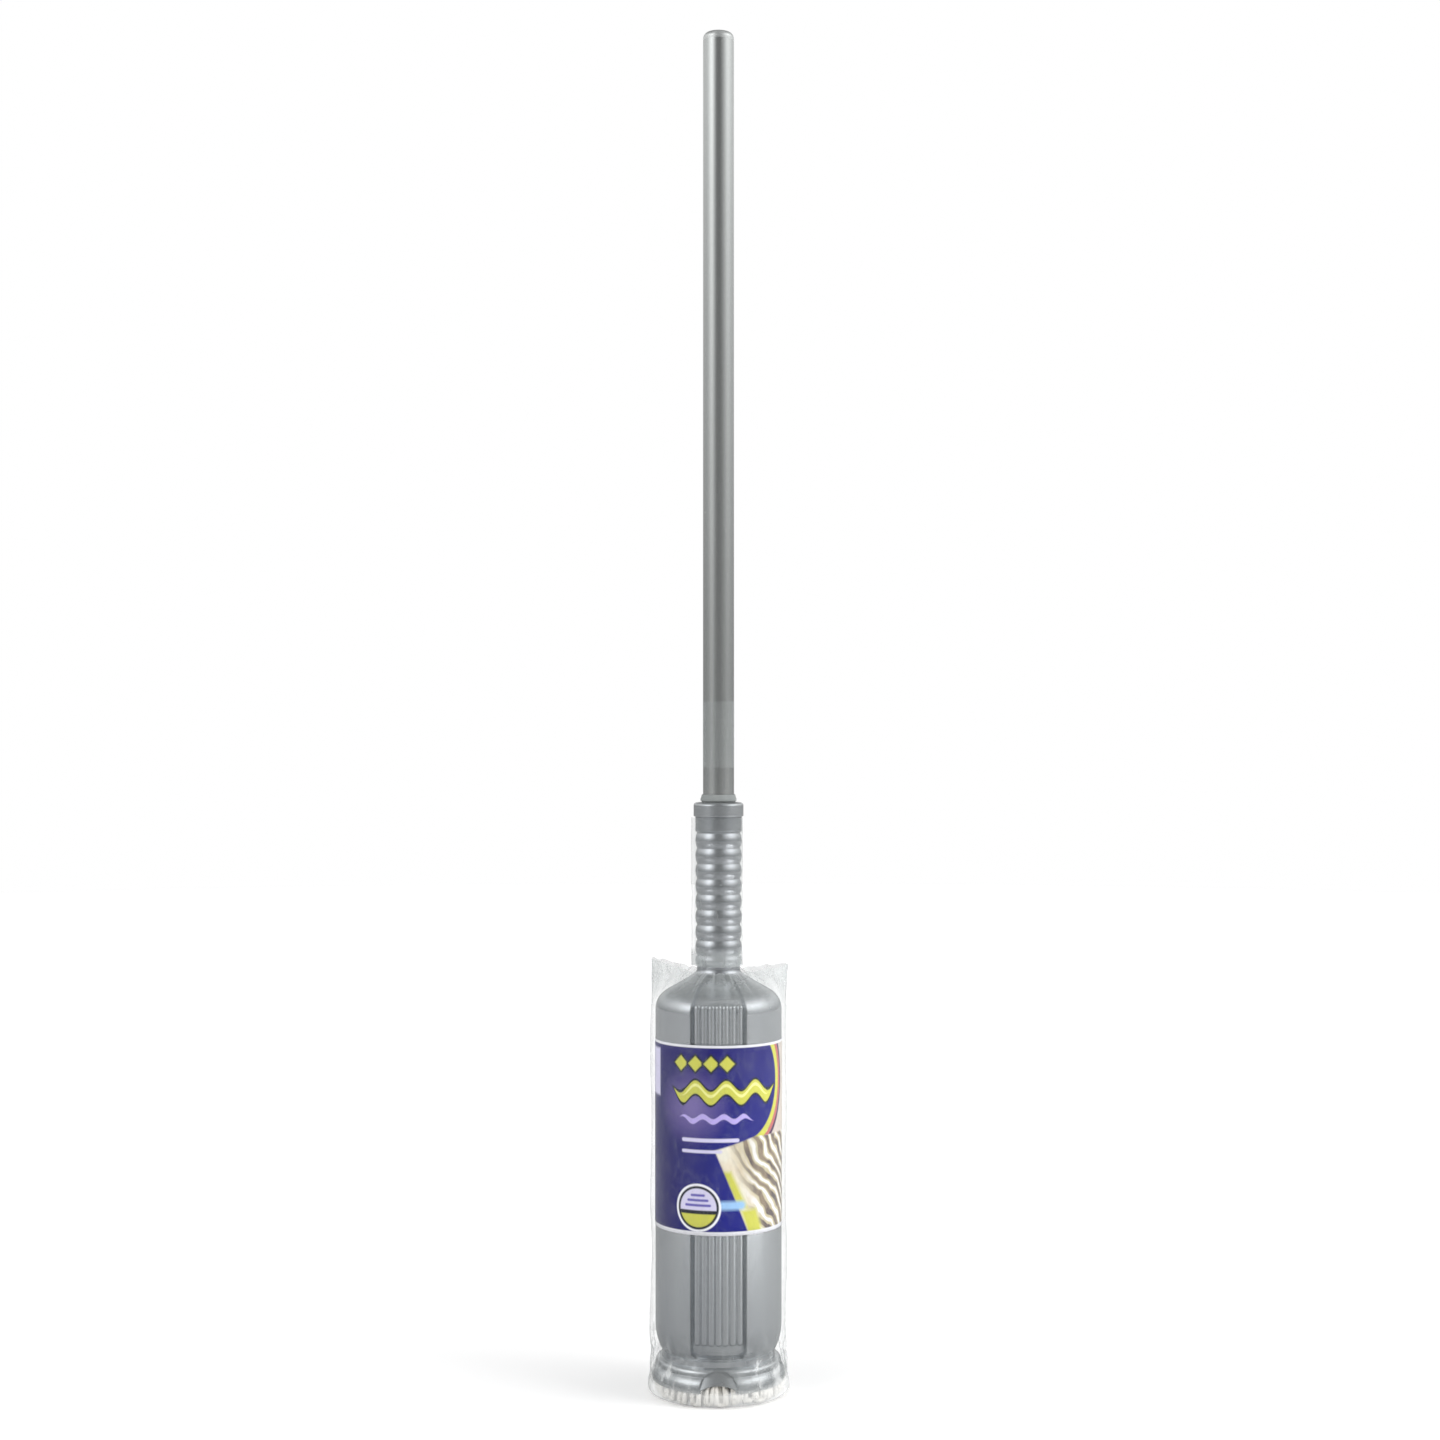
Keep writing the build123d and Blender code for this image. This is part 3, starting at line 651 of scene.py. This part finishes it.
picture = printed.mix(weave.ramp(0.35, 0.65), colour(214, 200, 176), colour(226, 222, 206))
picture = printed.mix(beyond_cloth * 0.7, picture, colour(168, 158, 122))
dark_strand = printed.mix(weave.ramp(0.4, 0.6), colour(70, 58, 70), colour(128, 112, 96))
picture = printed.mix(sweep.ramp(0.05, 0.5) * beyond_cloth * 0.9, picture, dark_strand)
light_strand = (sweep * -1).ramp(0.5, 0.95) * across.ramp(18, 36)
picture = printed.mix(light_strand * 0.9, picture, WHITE)
leaf_edge = (abs(slant - 5 + up * 0.06) - 4).most(abs(up - 36) - 15)
leaf_wedge = (abs(across - 32 + up * 0.35) - 7).most(up - 20)
picture = over(picture, leaf_edge.least(leaf_wedge), LEAF, 2.0)
art = printed.mix(1 - off_picture.ramp(-0.8, 0.8), ground, picture)
art = over(art, bar(11, 24, 11, 3.4), colour(150, 190, 230), 1.6)
print("nodes with the picture", len(printed.tree.nodes))

# %% [markdown]
# An arc sweeps down the right side. It is the edge of a large disc, drawn in three thin colours
# by taking the distance to rings a few millimetres apart.

# %% Arc
ARC_FOOT = 78

bow = disc(5, 122, 58)
below_arc = ARC_FOOT - up
beyond_arc = (bow * -1 - 0.5).most(below_arc).most(28 - across).most(across - PICTURE_END)
art = over(art, beyond_arc, colour(196, 186, 176), 0.8)
arc_lines = ((-4.0, 2.6, LEAF), (0.4, 1.6, colour(186, 96, 92)), (3.4, 1.5, colour(72, 34, 74)))
for offset, half, tint in arc_lines:
    ring_line = abs(bow - offset) - half
    art = over(art, ring_line.most(below_arc).most(24 - across), tint, 0.6)
print("arc lines", len(arc_lines))

# %% [markdown]
# A row of diamonds stands over two ribbons of water, with pale bars and a round badge below. An
# outline is the same shape drawn first, a little larger and dark.

# %% Diamonds, waves, bars and badge
DIAMONDS = (-32, -19, -6, 7)
DIAMONDS_UP = 137
BADGE = (-17, 22)

for place in DIAMONDS:
    for reach, tint in ((8.4, INK), (6.2, LEAF)):
        art = over(art, diamond(place, DIAMONDS_UP, reach), tint)
art = over(art, wave(114, 4.4, 25, 7.0, -44, 58), INK)
art = over(art, wave(114, 4.4, 25, 5.2, -42, 56), LEAF)
art = over(art, wave(115.6, 4.4, 25, 1.2, -38, 52), colour(226, 226, 146))
art = over(art, wave(93, 2.0, 17, 2.2, -38, 34), colour(178, 164, 222))
art = over(art, bar(-7, 76, 24, 1.5).least(bar(-14, 67, 17, 1.3)), PALE)
for radius, tint in ((19.2, WHITE), (17.4, INK)):
    art = over(art, disc(*BADGE, radius), tint)
inside_badge = disc(*BADGE, 15.4)
art = over(art, inside_badge.most(20 - up), PALE)
art = over(art, inside_badge.most(up - 17), LEAF)
for level, half in ((32, 6), (28, 9), (24, 11)):
    art = over(art, bar(BADGE[0], level, half, 1.0), colour(96, 88, 170))
print("nodes with the shapes", len(printed.tree.nodes))

# %% [markdown]
# The back of a band like this carries a plain table. White lines along both edges hide how the
# stock was cut, and tiny flecks and a faint waviness keep the print from looking like paint.

# %% Back panel and edges
PANEL = (-120, 78, 35, 62)
PANEL_ROWS = 4
ROW_PITCH = 30
TOP_ROW = 126

art = over(art, box(*PANEL), PALE, 0.8)
for row in range(PANEL_ROWS):
    level = TOP_ROW - row * ROW_PITCH
    art = over(art, abs(disc(-138, level, 8)) - 1.2, NIGHT)
    art = over(art, bar(-108, level, 16, 1.6), colour(90, 84, 150))
art = over(art, (up - 3.0).least(BAND_HEIGHT - 2.0 - up), WHITE, 0.4)

fleck = printed.noise(1400, 2.0)
printed.set("Base Color", printed.mix(fleck.ramp(0.55, 0.8) * 0.06, art, WHITE))
printed.set("Roughness", 0.24 + fleck * 0.1)
printed.bump(printed.noise(45, 2.0, (1, 1, 0.3)), 0.25 * MM, 0.4)
print("nodes for the whole print", len(printed.tree.nodes))

# %% [markdown]
# The band itself is a sheet with a little thickness. Its loose end is lifted by that thickness
# where it laps over its start.

# %% The band itself, lapped at the back
BAND_COLUMNS = 220
BAND_ROWS = 24
LAP = math.radians(5)
LAP_LIFT = 0.22 * MM
STOCK = 0.12 * MM


def make_band():
    """A sheet rolled once round the cup, with its loose end lapped over its start."""
    points = []
    for height in np.linspace(band_low[2], band_high[2], BAND_ROWS):
        for angle in np.linspace(-math.pi, math.pi + LAP, BAND_COLUMNS):
            lapped = within((angle - math.pi + LAP) / (2 * LAP))
            points.append(round_point(angle, BAND_RADIUS - 0.1 * MM + LAP_LIFT * lapped**0.5, height))
    faces = grid_faces(BAND_ROWS, BAND_COLUMNS, False)
    piece = add_piece("printed_band", points, faces, printed, "sleeve")
    thick = piece.modifiers.new("stock", "SOLIDIFY")
    thick.thickness = STOCK
    thick.offset = 0
    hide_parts("label_band")


make_band()

# %% [markdown]
# ## Clear film
# The film is a tube of thin polythene. It is almost nothing to look through, so what shows is
# its creases and its shine at a glancing angle: alpha rises there and stays low elsewhere. Its
# glints and bright blobs are painted highlights, whitened into the colour.

# %% Film finish
film = Finish("clear_film", IOR=1.5, Specular_IOR_Level=1.0)
film_low, film_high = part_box("wrap_film")
NECK_HEIGHT = film_high[2]
SHOULDER_HEIGHT = NECK_HEIGHT - 29.5 * MM
GRIP_FOOT = NECK_HEIGHT + 12 * MM

crease_noise = film.noise(60, 4.0, (1, 1, 0.5), 0.6)
crease = 1 - abs(crease_noise - 0.5).ramp(0.0, 0.03)
glint = film.noise(95, 2.0, (1, 1, 0.8)).ramp(0.56, 0.68)
haze = film.noise(18, 2.0).ramp(0.4, 0.8)
glance = film.node("LayerWeight", {}, {"Blend": 0.3}, output=1)

# Where it stands off, where it gathers at the waist and on the rim, where it lies in many layers, and where
# it is tight.
standing = film.z.ramp(SHOULDER_HEIGHT, SHOULDER_HEIGHT + 22 * MM)
gathered = 1 - film.z.ramp(WAIST_HEIGHT + 3 * MM, WAIST_HEIGHT + 24 * MM)
on_rim = 1 - film.z.ramp(WAIST_HEIGHT - 6 * MM, WAIST_HEIGHT + 6 * MM)
veil = 1 - film.z.ramp(RIM_FOOT, RIM_FOOT + 5 * MM)
tight = film.z.ramp(GRIP_FOOT, GRIP_FOOT + 6 * MM) * 0.7
# The left and right sides, where the soft boxes shine on the film: the painted highlights gather there.
lit_sides = abs(film.x).ramp(12 * MM, 34 * MM)

# Painted highlights: bright blobs on the rim at the sides, and glints on the creases round the waist.
highlight_blobs = film.noise(58, 1.0).ramp(0.46, 0.62) * lit_sides * on_rim * 0.34
waist_glints = (crease * 0.08 + glint * 0.22) * (0.3 + lit_sides * 0.7) + highlight_blobs
# The painted highlights and the veil whiten the film's colour and raise its alpha; the veil itself is the
# film's many layers over the tuft.
highlights_and_veil = crease * 0.05 + waist_glints * gathered * (1 - veil) + glint * 0.02 + veil * 0.32
cover = (0.022 + highlights_and_veil + haze * 0.035 + standing * 0.33) * (1 - tight)
cover = cover + glance * glance * (0.55 + gathered * 0.2)
film.set("Base Color", film.mix(highlights_and_veil.ramp(0.04, 0.3), (0.60, 0.64, 0.64, 1), (0.95, 0.97, 0.97, 1)))
film.set("Alpha", cover.least(0.85))
film.set("Roughness", 0.08 + haze * 0.12)
film.bump(crease_noise + crease * 0.4, 2 * MM, 0.8)
print("film from", round(film_low[2], 4), "to", round(NECK_HEIGHT, 4))

# %% [markdown]
# The tube was pressed flat when it was made, so its two folds stand up past the shoulder as
# ears, left and right, while the front and back lie down on the shoulder towards the neck. At
# the waist the spare width gathers into folds, and below it the film hugs the rim. A cloth
# simulation could find such a shape, but a formula gives the same one on every run.

# %% Film measures
FILM_COLUMNS = 340
FILM_ROWS = 190
WALL_ROWS = FILM_ROWS * 3 // 4
FILM_BODY = BAND_RADIUS + 0.45 * MM
OVER_RIM = RIM_RADIUS + 1.1 * MM
OVER_TUFT = foot_high[0] + 0.6 * MM
FILM_NECK = 22.5 * MM
FILM_FOOT = 2.5 * MM
LEFT_EAR, RIGHT_EAR = NECK_HEIGHT + 9 * MM, NECK_HEIGHT + 4 * MM
LEFT_LEAN, RIGHT_LEAN = -1.0 * MM, 1.5 * MM
WAIST_PINCH = 1.6 * MM
FOOT_TUCK = 2.2 * MM
SIDE_SLACK = 2.5 * MM
BEND_SHARE = 0.45
BEND_TURN = math.radians(62)
print("film radius", round(FILM_BODY, 4), "over the rim", round(OVER_RIM, 4))


def shoulder_point(share):
    """Radius and height over the shoulder, from the body at 0 to the neck at 1."""
    turn = min(share / BEND_SHARE, 1) * BEND_TURN
    radius = FILM_BODY - 14 * MM * (1 - math.cos(turn))
    height = SHOULDER_HEIGHT + 14.6 * MM * math.sin(turn)
    along = within((share - BEND_SHARE) / (1 - BEND_SHARE))
    return radius + (FILM_NECK - radius) * along, height + (NECK_HEIGHT - height) * along


# %% [markdown]
# Three kinds of unevenness are laid over each other: slack at the two sides, where the flat tube
# had its folds, soft pleats round the waist, and small sharp creases from ridged noise.

# %% Folds and creases
def slack_share(angle):
    """1 at the left and right sides, and almost 0 elsewhere."""
    return abs(math.sin(angle)) ** 7


def pleats(angle):
    """Uneven upright pleats round the pole."""
    return math.sin(angle * 23 + 1.3 * math.sin(angle * 3)) + 0.6 * math.sin(angle * 41 + 2)


def crinkle(angle, height, size):
    """Sharp-edged creases, 0 to about 1, in the way that thin film crumples."""
    around = (math.sin(angle), -math.cos(angle), height / BAND_RADIUS * 0.6)
    return 0.5 * noise.ridged_multi_fractal(Vector(around) * (BAND_RADIUS / size), 0.9, 2.1, 4, 1.0, 2.0)


def nearness(height, middle, reach):
    """1 at a middle height, and fading to 0 above and below it."""
    return math.exp(-(((height - middle) / reach) ** 2))


# %% Film shape
def film_wall(angle, row):
    """Radius and height from the floor up to the shoulder."""
    height = FILM_FOOT + (SHOULDER_HEIGHT - FILM_FOOT) * (row / WALL_ROWS) ** 1.5
    low = within((WAIST_HEIGHT + 6 * MM - height) / (14 * MM))
    tuft = within((RIM_FOOT + 5 * MM - height) / (6 * MM))
    tuck = within((RIM_FOOT / 2 - height) / (RIM_FOOT / 2 - FILM_FOOT))
    waist = nearness(height, WAIST_HEIGHT, 9 * MM)
    near_waist = nearness(height, WAIST_HEIGHT, 20 * MM)
    slack = slack_share(angle) * (1 - low)

    radius = FILM_BODY + (OVER_RIM - FILM_BODY) * low * low * (3 - 2 * low)
    radius += (OVER_TUFT - OVER_RIM) * tuft - WAIST_PINCH * waist - FOOT_TUCK * tuck**2
    radius += pleats(angle) * (0.5 * waist + 0.25 * near_waist) * MM
    radius += 0.15 * MM * math.sin(angle * 9 + height * 60)
    crumple = min(1.0, 0.12 + near_waist) * (1 - 0.5 * tuft)
    radius += (crinkle(angle, height, 13 * MM) - 0.35) * 2.2 * MM * crumple
    radius += crinkle(angle, height, 30 * MM) * 1.0 * MM * slack
    radius += (SIDE_SLACK + 0.5 * MM * math.sin(height * 55 + angle)) * slack
    return radius, height


def film_top(angle, share):
    """Radius and height above the shoulder: the ears at the sides, the dome elsewhere."""
    right = math.sin(angle) > 0
    lean, tip = (RIGHT_LEAN, RIGHT_EAR) if right else (LEFT_LEAN, LEFT_EAR)
    dome_radius, dome_height = shoulder_point(share * 0.96)
    dome_radius += 0.7 * MM
    ear_radius = FILM_BODY + SIDE_SLACK + lean * share
    ear_height = SHOULDER_HEIGHT + (tip - SHOULDER_HEIGHT) * share
    slack = slack_share(angle)
    radius = dome_radius + (ear_radius - dome_radius) * slack + pleats(angle) * 0.3 * MM * share
    radius += (crinkle(angle, ear_height, 22 * MM) - 0.3) * 1.6 * MM * share
    height = dome_height + (ear_height - dome_height) * slack
    return radius, height + 0.5 * MM * share * pleats(angle)


def make_film():
    """The film over the cup, from the rim's foot to the neck and the two ears."""
    points = []
    for row in range(FILM_ROWS):
        share = (row - WALL_ROWS) / (FILM_ROWS - 1 - WALL_ROWS)
        for column in range(FILM_COLUMNS):
            angle = 2 * math.pi * column / FILM_COLUMNS
            place = film_wall(angle, row) if row <= WALL_ROWS else film_top(angle, share)
            points.append(round_point(angle, *place))
    faces = grid_faces(FILM_ROWS, FILM_COLUMNS, True)
    piece = add_piece("cup_film", points, faces, film, "sleeve")
    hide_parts("wrap_film")


make_film()

# %% [markdown]
# A narrower piece of the same film is drawn up round the grip. It hugs the beads and its heat
# seal stands off to the left as a thin upright fin. A turn of clear tape holds the pole's paint.

# %% Film on the grip and tape on the pole
collar_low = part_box("neck_collar")[0]
bush_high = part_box("guide_bush")[1]
GRIP_COLUMNS = 96
GRIP_ROWS = 70
GRIP_RADIUS = NECK_RADIUS - 1.0 * MM
FIN_BEARING = 1.5 * math.pi
FIN_WIDTH = 0.14
FIN_DEPTH = 2.9 * MM
TAPE_COLUMNS = 120
TAPE_ROWS = 20
TAPE_WIDTH = 54 * MM
TAPE_START = -2.2
TAPE_TURN = 2.15 * math.pi
TAPE_GAP = 0.06 * MM
TAPE_LAP = 0.05 * MM
print("bush ends at", round(bush_high[2], 4), "collar starts at", round(collar_low[2], 4))


def make_grip_film():
    """A loose tube round the grip with a fin on its left side."""
    points = []
    for height in np.linspace(NECK_HEIGHT + 3 * MM, collar_low[2] - 1 * MM, GRIP_ROWS):
        for column in range(GRIP_COLUMNS):
            angle = 2 * math.pi * column / GRIP_COLUMNS
            fin = nearness(angle, FIN_BEARING, FIN_WIDTH)
            radius = GRIP_RADIUS + FIN_DEPTH * fin + 0.12 * MM * math.sin(height * 210 + 3 * angle)
            radius += 0.5 * MM * crinkle(angle, height, 9 * MM) * (1 - fin)
            points.append(round_point(angle, radius, height))
    faces = grid_faces(GRIP_ROWS, GRIP_COLUMNS, True)
    add_piece("grip_film", points, faces, film, "sleeve")


def make_pole_tape():
    """One and a bit turns of tape, tight on the pole so that the bush passes over it."""
    points = []
    low = bush_high[2] + 22 * MM
    for height in np.linspace(low, low + TAPE_WIDTH, TAPE_ROWS):
        for column in range(TAPE_COLUMNS):
            angle = TAPE_START + TAPE_TURN * column / (TAPE_COLUMNS - 1)
            radius = POLE_RADIUS + TAPE_GAP + TAPE_LAP * column / TAPE_COLUMNS
            points.append(round_point(angle, radius, height))
    faces = grid_faces(TAPE_ROWS, TAPE_COLUMNS, False)
    add_piece("pole_tape", points, faces, film, "pole")


make_grip_film()
make_pole_tape()

# %% [markdown]
# ## Floor
# The floor is pale to look at and fades into the white round it. Shiny things see another floor:
# grey in front, and brighter out to the left and right, as if soft boxes stood there and lit it.
# A Light Path node tells the two apart.

# %% Floor
FLOOR_RADIUS = 6.0
FLOOR_CORNERS = 64

stage_finish = Finish("pale_floor", Roughness=0.9, Specular_IOR_Level=0.1, Emission_Strength=1.0)
to_left, to_right = stage_finish.x * -1, stage_finish.x
near_pools = to_left.ramp(0.1, 0.5) * 0.26 + to_right.ramp(0.1, 0.5) * 0.2
pools = near_pools + to_left.ramp(0.7, 3.2) * 0.6 + to_right.ramp(0.3, 2.8) * 0.9
mirrored = stage_finish.mix(pools.least(1.0), (0.42, 0.42, 0.42, 1), (0.88, 0.88, 0.88, 1))
speckle = stage_finish.noise(8, 3.0)
pale = stage_finish.mix(speckle, (0.88, 0.88, 0.88, 1), (0.90, 0.90, 0.90, 1))
in_view = stage_finish.node("LightPath", {}, {})
stage_finish.set("Base Color", stage_finish.mix(in_view, mirrored, pale))
out = (stage_finish.x**2 + stage_finish.y**2).maths("SQRT")
glow_share = in_view * (0.30 + out.ramp(0.1, 1.0) * 0.22)
stage_finish.set("Emission Color", stage_finish.mix(glow_share, (0, 0, 0, 1), (1, 1, 1, 1)))

floor_mesh = bpy.data.meshes.new("floor")
turns = [2 * math.pi * corner / FLOOR_CORNERS for corner in range(FLOOR_CORNERS)]
corners = [(FLOOR_RADIUS * math.cos(turn), FLOOR_RADIUS * math.sin(turn), 0) for turn in turns]
floor_mesh.from_pydata(corners, [], [tuple(range(FLOOR_CORNERS))])
floor_mesh.materials.append(stage_finish.material)
floor = bpy.data.objects.new("floor", floor_mesh)
bpy.context.collection.objects.link(floor)
print("floor radius", FLOOR_RADIUS)

# %% [markdown]
# ## Light
# Round glossy things show the room more than themselves. Two tall soft boxes stand left and
# right, so that the pole gets two bright lines with a dark one between. They are painted into
# the sky round the set as smooth lobes, which is less noisy than lamps. The sky is dim high up
# behind, because the tops of the beads would pick it up there.

# %% Light from all round
world = bpy.data.worlds.new("studio")
bpy.context.scene.world = world
sky = Nodes(world, "Generated")
rise = sky.z
bearing = sky.around(1.0)
ROOM_LIGHT = 0.18


def lobe(centre, width):
    """A soft box's glow round a bearing, in degrees from the camera's side."""
    off = (bearing - math.radians(centre)) / math.radians(width)
    return (off * off * -1).maths("EXPONENT")


def wash(start, end):
    """A broad glow that begins at one bearing and is full at another, in degrees."""
    return bearing.ramp(math.radians(start), math.radians(end))


left_side = (wash(-16, -48) * 0.55 + lobe(-53, 24) * 0.7) * (1 - rise.ramp(0.3, 0.7) * 0.35)
right_side = wash(14, 66) * 0.62 + lobe(76, 30) * 0.32
tall = 0.2 + rise.ramp(0.02, 0.26) * 0.8 + rise.ramp(0.2, 0.5) * 1.1
tall = tall * (1 - rise.ramp(0.55, 0.85) * 0.8)
overhead = rise.ramp(0.85, 1.0) * 0.2
behind = (wash(100, 150) + wash(-100, -150)) * rise.ramp(0.2, 0.45)
light = ROOM_LIGHT + (left_side + right_side) * tall * (1 - behind * 0.85) * 1.1 + overhead
seen = sky.node("LightPath", {}, {})
strength = light * (1 - seen) + seen
background = sky.tree.nodes.new("ShaderNodeBackground")
background.inputs["Color"].default_value = (1, 1, 1, 1)
sky.join(background.inputs["Strength"], strength)
sky.show(background, "World")
print("sky nodes", len(sky.tree.nodes))

# %% [markdown]
# Two low lamps soften the shade on the cup. They light the dull surfaces and leave the gloss
# alone, so they draw no lines of their own.

# %% Two fill lamps
AIM_HEIGHT = 0.15
LAMP_SIZE = 0.6
FILL_LAMPS = (("right_fill", (0.95, -0.45, 0.15), 14), ("left_fill", (-0.9, -0.8, 0.15), 9))


def soft_lamp(name, place, size, power):
    """A square lamp that faces the cup and isn't itself in view."""
    lamp = bpy.data.lights.new(name, "AREA")
    lamp.size = size
    lamp.energy = power
    piece = bpy.data.objects.new(name, lamp)
    piece.location = place
    aim = Vector((0, 0, AIM_HEIGHT)) - Vector(place)
    piece.rotation_euler = aim.to_track_quat("-Z", "Y").to_euler()
    piece.visible_camera = False
    bpy.context.collection.objects.link(piece)
    return piece


for name, place, power in FILL_LAMPS:
    lamp = soft_lamp(name, place, LAMP_SIZE, power)
    lamp.visible_glossy = False
    print(name, power, "W")
